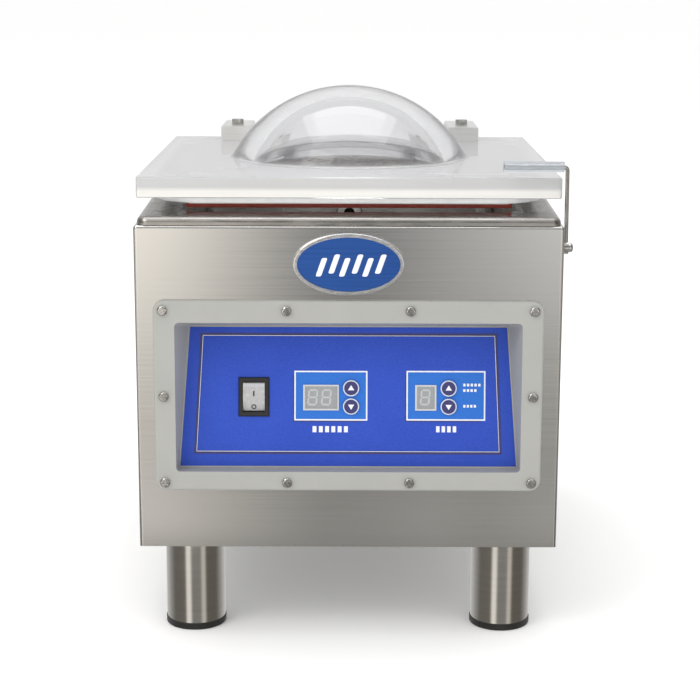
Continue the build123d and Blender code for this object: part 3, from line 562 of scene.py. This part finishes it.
outline = [(-128.0, -46.9), (127.5, -46.9), (123.2, 49.6), (-122.5, 49.6)]
printed("outline_shadow", [(grown(outline, 3.4), grown(outline, 0.7))], 0.1, 0.24, "navy_ink")
printed("outline_line", [(grown(outline, 0.9), grown(outline, -1.3))], 0.1, 0.32, "white_ink")

vacuum_block = box_loop(-44.8, 15.0, -20.4, 19.6)
seal_block = box_loop(50.6, 115.4, -20.2, 19.8)
for tag, loop in (("vacuum", vacuum_block), ("seal", seal_block)):
    left, low = loop[0]
    right, high = loop[2]
    for edge, strip in (
        ("left", box_loop(left - 2.2, left + 0.5, low - 2.2, high - 2.2)),
        ("low", box_loop(left + 0.5, right - 2.2, low - 2.2, low + 0.5)),
    ):
        printed(f"{tag}_shadow_{edge}", [strip], 0.05, 0.23, "navy_ink")
    printed(f"{tag}_block", [grown(loop, -0.9)], 0.1, 0.25, "block_blue")
    printed(f"{tag}_block_line", [(loop, grown(loop, -1.2))], 0.1, 0.29, "white_ink")

for tag, outer, window in (
    ("vacuum", box_loop(-38.5, -8.1, -12.9, 8.9), box_loop(-36.8, -9.3, -11.4, 7.5)),
    ("seal", box_loop(56.8, 74.9, -12.9, 8.9), box_loop(58.5, 73.4, -11.4, 7.5)),
):
    printed(f"{tag}_display_frame", [(outer, window)], 0.1, 0.95, "frame_white")
    # Painted shade: a dark ring just inside each window stands for the shade along the window's edges.
    shade = (window, grown(window, -0.8))
    printed(f"{tag}_display_shade", [shade], 0.3, 0.55, "display_painted_shade")


def digit_loops(x0, x1, w0, w1, wide=1.5, gap=0.2):
    """The seven bars of a digit, leaning a little to the right."""
    lean = 0.09
    middle = (w0 + w1) / 2
    half = wide / 2

    def level(w):
        a, b = x0 + half + gap, x1 - half - gap
        under = [(a, w), (a + half, w - half), (b - half, w - half)]
        return under + [(b, w), (b - half, w + half), (a + half, w + half)]

    def upright(x, low, high):
        a, b = low + gap, high - gap
        right = [(x, a), (x + half, a + half), (x + half, b - half)]
        return right + [(x, b), (x - half, b - half), (x - half, a + half)]

    bars = [level(w0 + half), level(middle), level(w1 - half)]
    for x in (x0 + half, x1 - half):
        bars.append(upright(x, w0 + half, middle))
        bars.append(upright(x, middle, w1 - half))
    return [[(x + lean * (w - middle), w) for x, w in bar] for bar in bars]


printed(
    "vacuum_digits", digit_loops(-34.6, -26.1, -8.7, 5.1) + digit_loops(-23.0, -14.5, -8.7, 5.1),
    0.25, 0.42, "digit_grey",
)
printed("seal_digit", digit_loops(61.2, 69.6, -8.4, 5.2), 0.25, 0.42, "digit_grey")


def bars(x0, x1, w0, w1, count, share=0.62):
    """A row of plain bars that stands where a word was."""
    pitch = (x1 - x0) / (count - 1 + share)
    return [box_loop(x0 + pitch * i, x0 + pitch * (i + share), w0, w1) for i in range(count)]


printed("vacuum_mark", bars(-30.4, -0.4, -31.6, -26.4, 6), 0.1, 0.2, "white_ink")
printed("seal_mark", bars(74.8, 91.9, -31.4, -26.2, 4), 0.1, 0.2, "white_ink")
small_marks = bars(97.7, 112.4, 7.9, 10.2, 5)
small_marks += bars(97.7, 109.0, 3.2, 5.5, 4)
small_marks += bars(97.8, 108.6, -10.2, -7.9, 4)
printed("button_marks", small_marks, 0.2, 0.3, "white_ink")

BUTTONS = {
    "vacuum_up": (2.3, 6.1, 1), "vacuum_down": (2.3, -9.5, -1),
    "seal_up": (85.3, 6.1, 1), "seal_down": (85.3, -9.5, -1),
}
for tag, (x, w, way) in BUTTONS.items():
    printed(f"{tag}_disc", [disc_loop(x, w, 5.9)], 2.3, 2.5, "navy_ink", tag)
    arrow = [(x - 2.7, w - way * 1.7), (x + 2.7, w - way * 1.7), (x, w + way * 2.7)]
    printed(f"{tag}_arrow", [arrow], 2.3, 2.58, "white_ink", tag)


# ------------------------------------------------------------------ rocker's marks

ROCKER_AXIS = Vector((-80.4, -1.5, -0.4)) * MM
SWITCH = PANEL @ Matrix.Translation(ROCKER_AXIS) @ Matrix.Rotation(math.radians(9.0), 4, "X")


def rocker_face(upper):
    """A frame on one of the rocker's two flats, centred on the flat."""
    slope = math.atan2(2.0, 12.2)
    way = 1 if upper else -1
    centre = Vector((0, way * 6.1, 2.4)) * MM
    return SWITCH @ Matrix.Translation(centre) @ Matrix.Rotation(-way * slope, 4, "X")


def rocker_mark(name, upper, shapes, look):
    """Flat marks on one half of the rocker, which move with it."""
    bm = bmesh.new()
    for outer, inner in shapes:
        add_prism(bm, outer, -0.05, 0.12, inner)
    return piece(name, bm, look, "rocker", rocker_face(upper))


off_ring = (disc_loop(0, -2.2, 2.2, 32), disc_loop(0, -2.2, 1.3, 32))
rocker_mark("rocker_on_mark", True, [(box_loop(-0.6, 0.6, -4.8, -0.6), None)], "black_plastic")
rocker_mark("rocker_off_mark", False, [off_ring], "black_plastic")
rocker_mark("rocker_band", True, [(box_loop(-8.7, 8.7, 3.0, 5.4), None)], "digit_grey")


# ------------------------------------------------------------------ badge

BADGE = Matrix.Translation(Vector((BODY_X, FRONT_Y, 325.4)) * MM) @ Matrix.Rotation(math.radians(90), 4, "X")


def slanted(x0, x1, w0, w1, lean=0.35):
    """A round-ended bar that leans to the right."""
    return [(x + lean * w, w) for x, w in rounded_loop(x0, x1, w0, w1, min(1.4, (w1 - w0) / 2.2))]


emblem = bmesh.new()
for i in range(6):
    w0, w1 = (-7.5, 8.5) if i % 2 else (-10.0, 5.5)
    add_prism(emblem, slanted(-24 + 9.6 * i, -19.4 + 9.6 * i, w0, w1), 2.0, 2.5)
piece("badge_emblem", emblem, "white_ink", "body", BADGE)


# ------------------------------------------------------------------ springs


def coil(bm, cx, cy, z0, z1, radius, wire, turns, segments=14, sides=6):
    """Adds a wound wire that stands upright, with closed ends."""
    rings = []
    count = turns * segments
    for i in range(count + 1):
        angle = 2 * math.pi * i / segments
        out = Vector((math.cos(angle), math.sin(angle), 0))
        centre = Vector((cx, cy, z0 + (z1 - z0) * i / count)) + out * radius
        rings.append(wire_ring(bm, centre, out, Vector((0, 0, 1)), wire, sides))
    wire_skin(bm, rings)


def tube(bm, points, radius, sides=8):
    """Adds a tube along points that lie in one plane of Y and Z, with closed ends."""
    rings = []
    for i, point in enumerate(points):
        ahead = points[min(i + 1, len(points) - 1)] - points[max(i - 1, 0)]
        side = ahead.cross(Vector((1, 0, 0))).normalized()
        up = ahead.cross(side).normalized()
        rings.append(wire_ring(bm, point, side, up, radius, sides))
    wire_skin(bm, rings)


SPRING_X, SPRING_Y = 118.1, FRONT_Y + 421.0
COIL_LOW, COIL_HIGH = 145.0, 328.0
LOW_EYE, HIGH_EYE = 126.0, 372.8
COIL_RADIUS, EYE_RADIUS = 7.6, 5.2

bm = bmesh.new()
for side in (-1, 1):
    x, y = side * SPRING_X + BODY_X, SPRING_Y
    coil(bm, x, y, COIL_LOW, COIL_HIGH, COIL_RADIUS, 1.25, 66)
    for eye, join, way in ((LOW_EYE, COIL_LOW, 1), (HIGH_EYE, COIL_HIGH, -1)):
        stem = [Vector((x, y + COIL_RADIUS, join)), Vector((x, y + 4.0, join - way * 4.0))]
        stem.append(Vector((x, y + 0.5, join - way * 8.0)))
        for degrees in range(-10, 331, 17):
            angle = math.radians(degrees)
            rise = way * EYE_RADIUS * math.cos(angle)
            stem.append(Vector((x, y + EYE_RADIUS * math.sin(angle), eye + rise)))
        tube(bm, stem, 1.15)
springs = piece("lid_spring_coils", bm, "spring_steel", "body")
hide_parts("lid_springs")
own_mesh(springs)

# ------------------------------------------------------------------ floor, light and camera


def stage_material(name, colour):
    """White paper, which glows a little so that it stays white in the shade."""
    made, tree, shader = material(name, 0.0, 0.9, Emission_Color=(1, 1, 1, 1), Emission_Strength=0.12)
    mottle = noise(tree, (3, 3, 3), 2.0)
    colour_from(tree, shader, mottle, [c * 0.99 for c in colour], colour)
    return made


def plane(name, corners, look):
    """A flat piece of the stage."""
    mesh = bpy.data.meshes.new(name)
    mesh.from_pydata(corners, [], [tuple(range(len(corners)))])
    mesh.materials.append(look)
    made = bpy.data.objects.new(name, mesh)
    bpy.context.collection.objects.link(made)
    made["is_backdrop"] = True
    return made


paper = stage_material("floor_paper", (0.95, 0.95, 0.95))
floor = plane("floor", [(-12, -12, 0), (12, -12, 0), (12, 12, 0), (-12, 12, 0)], paper)
floor.visible_glossy = False


def reflected_card():
    """A light card that only mirror-like surfaces see; it gives the front its shading.

    Its shades fan out from a point behind the machine, so they stand as upright bands on the front."""
    fan_y = 1.32
    made = bpy.data.materials.new("card_light")
    made.use_nodes = True
    tree = made.node_tree
    tree.nodes.clear()
    coords = tree.nodes.new("ShaderNodeTexCoord")
    parts = new_node(tree, "ShaderNodeSeparateXYZ", _0=coords.outputs["Object"])
    depth = math_node(tree, "SUBTRACT", fan_y, parts.outputs[1])
    across = math_node(tree, "DIVIDE", parts.outputs[0], depth)
    far = mapped(tree, across, -0.2, 0.2, 0.0, 1.0)
    high = ramp(tree, far, (
        (0.0, (1.50, 1.43, 1.33)), (0.23, (1.39, 1.33, 1.23)), (0.303, (1.05, 1.02, 0.96)),
        (0.383, (0.57, 0.56, 0.55)), (0.463, (0.13, 0.14, 0.15)), (0.505, (0.115, 0.125, 0.14)),
        (0.5425, (0.185, 0.20, 0.215)), (0.609, (0.52, 0.525, 0.525)), (0.689, (0.66, 0.66, 0.65)),
        (0.762, (0.88, 0.88, 0.88)), (1.0, (1.10, 1.08, 1.05)),
    ))
    low = ramp(tree, far, (
        (0.0, (0.70, 0.68, 0.64)), (0.23, (0.61, 0.59, 0.56)), (0.303, (0.49, 0.48, 0.45)),
        (0.383, (0.35, 0.345, 0.33)), (0.463, (0.25, 0.246, 0.236)), (0.5425, (0.28, 0.275, 0.265)),
        (0.609, (0.315, 0.312, 0.30)), (0.689, (0.285, 0.28, 0.264)), (0.762, (0.345, 0.342, 0.325)),
        (1.0, (0.40, 0.385, 0.36)),
    ))
    near = mapped(tree, parts.outputs[1], -1.0, -2.4, 0.0, 1.0, smooth=True)
    strength = mapped(tree, parts.outputs[1], -0.51, -0.66, 1.45, 0.98)
    glow = new_node(tree, "ShaderNodeEmission", Color=mixed_colour(tree, near, low, high), Strength=strength)
    output = tree.nodes.new("ShaderNodeOutputMaterial")
    tree.links.new(glow.outputs[0], output.inputs[0])
    start, end, base, top = -0.48, -3.4, 0.003, 0.9
    for name, corners in (
        ("card_low", [(-3, start, base), (3, start, base), (3, end, base), (-3, end, base)]),
        ("card_high", [(-3, end, base), (3, end, base), (3, end, top), (-3, end, top)]),
    ):
        card = plane(name, corners, made)
        card.visible_camera = False
        card.visible_diffuse = False
        card.visible_transmission = False
        card.visible_volume_scatter = False
        card.visible_shadow = False


reflected_card()


def studio_world():
    """White all round for the eye and for matt surfaces; a room with two strip lights for glossy ones."""
    world = bpy.data.worlds.new("studio")
    world.use_nodes = True
    scene.world = world
    tree = world.node_tree
    tree.nodes.clear()
    coords = tree.nodes.new("ShaderNodeTexCoord")
    parts = new_node(tree, "ShaderNodeSeparateXYZ", _0=coords.outputs["Generated"])
    turned = math_node(tree, "MULTIPLY", parts.outputs[1], -1.0)
    angle = math_node(tree, "ARCTAN2", parts.outputs[0], turned)
    grey, dim, dark = (0.75, 0.75, 0.75), (0.55, 0.55, 0.55), (0.14, 0.13, 0.12)
    strip, weak_strip = (0.95, 0.92, 0.88), (0.62, 0.59, 0.55)
    room = ramp(tree, mapped(tree, angle, -math.pi, math.pi, 0.0, 1.0), (
        (0.0, grey), (0.12, dim), (0.26, (0.16, 0.15, 0.14)), (0.39, (0.17, 0.16, 0.14)),
        (0.415, strip), (0.445, strip), (0.47, (0.24, 0.24, 0.23)), (0.56, (0.26, 0.25, 0.24)),
        (0.58, weak_strip), (0.605, weak_strip), (0.63, (0.14, 0.13, 0.11)), (0.75, dark),
        (0.88, dim), (1.0, grey),
    ))
    height = mapped(tree, parts.outputs[2], 0.55, 0.9, 0.0, 1.0, smooth=True)
    gloss = mixed_colour(tree, height, room, (0.80, 0.80, 0.81))
    path = tree.nodes.new("ShaderNodeLightPath")
    soft = math_node(tree, "MAXIMUM", path.outputs["Is Camera Ray"], path.outputs["Is Diffuse Ray"])
    soft = math_node(tree, "MAXIMUM", soft, path.outputs["Is Transmission Ray"])
    colour = mixed_colour(tree, soft, gloss, (1.0, 1.0, 1.0))
    light = new_node(tree, "ShaderNodeBackground", Color=colour, Strength=1.0)
    output = tree.nodes.new("ShaderNodeOutputWorld")
    tree.links.new(light.outputs[0], output.inputs[0])


studio_world()


def area_light(name, place, target, size, power, colour=(1, 1, 1)):
    """A soft lamp at a place, turned to a target."""
    data = bpy.data.lights.new(name, "AREA")
    data.shape = "RECTANGLE"
    data.size, data.size_y = size
    data.energy = power
    data.color = colour
    lamp = bpy.data.objects.new(name, data)
    bpy.context.collection.objects.link(lamp)
    lamp.location = place
    lamp.rotation_euler = (Vector(target) - Vector(place)).to_track_quat("-Z", "Y").to_euler()
    lamp.visible_camera = False
    return lamp


area_light("key", (-1.1, -1.3, 1.7), (0, 0, 0.25), (1.0, 1.0), 9.0, (1.0, 0.98, 0.95))
area_light("overhead", (0, 0.2, 2.2), (0, 0, 0.3), (1.8, 1.4), 14.0)

camera_data = bpy.data.cameras.new("camera")
camera_data.sensor_width = 36.0
camera_data.lens = 98.43
CAMERA_PLACE = (-0.002475, -1.79459, 0.60936)
camera = bpy.data.objects.new("camera", camera_data)
bpy.context.collection.objects.link(camera)
TURN, TILT, ROLL = math.radians(0.024), math.radians(77.1), math.radians(0.17)
look = Matrix.Rotation(TURN, 4, "Z") @ Matrix.Rotation(TILT, 4, "X") @ Matrix.Rotation(ROLL, 4, "Z")
camera.matrix_world = Matrix.Translation(CAMERA_PLACE) @ look
scene.camera = camera

bpy.context.view_layer.update()
low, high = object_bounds()
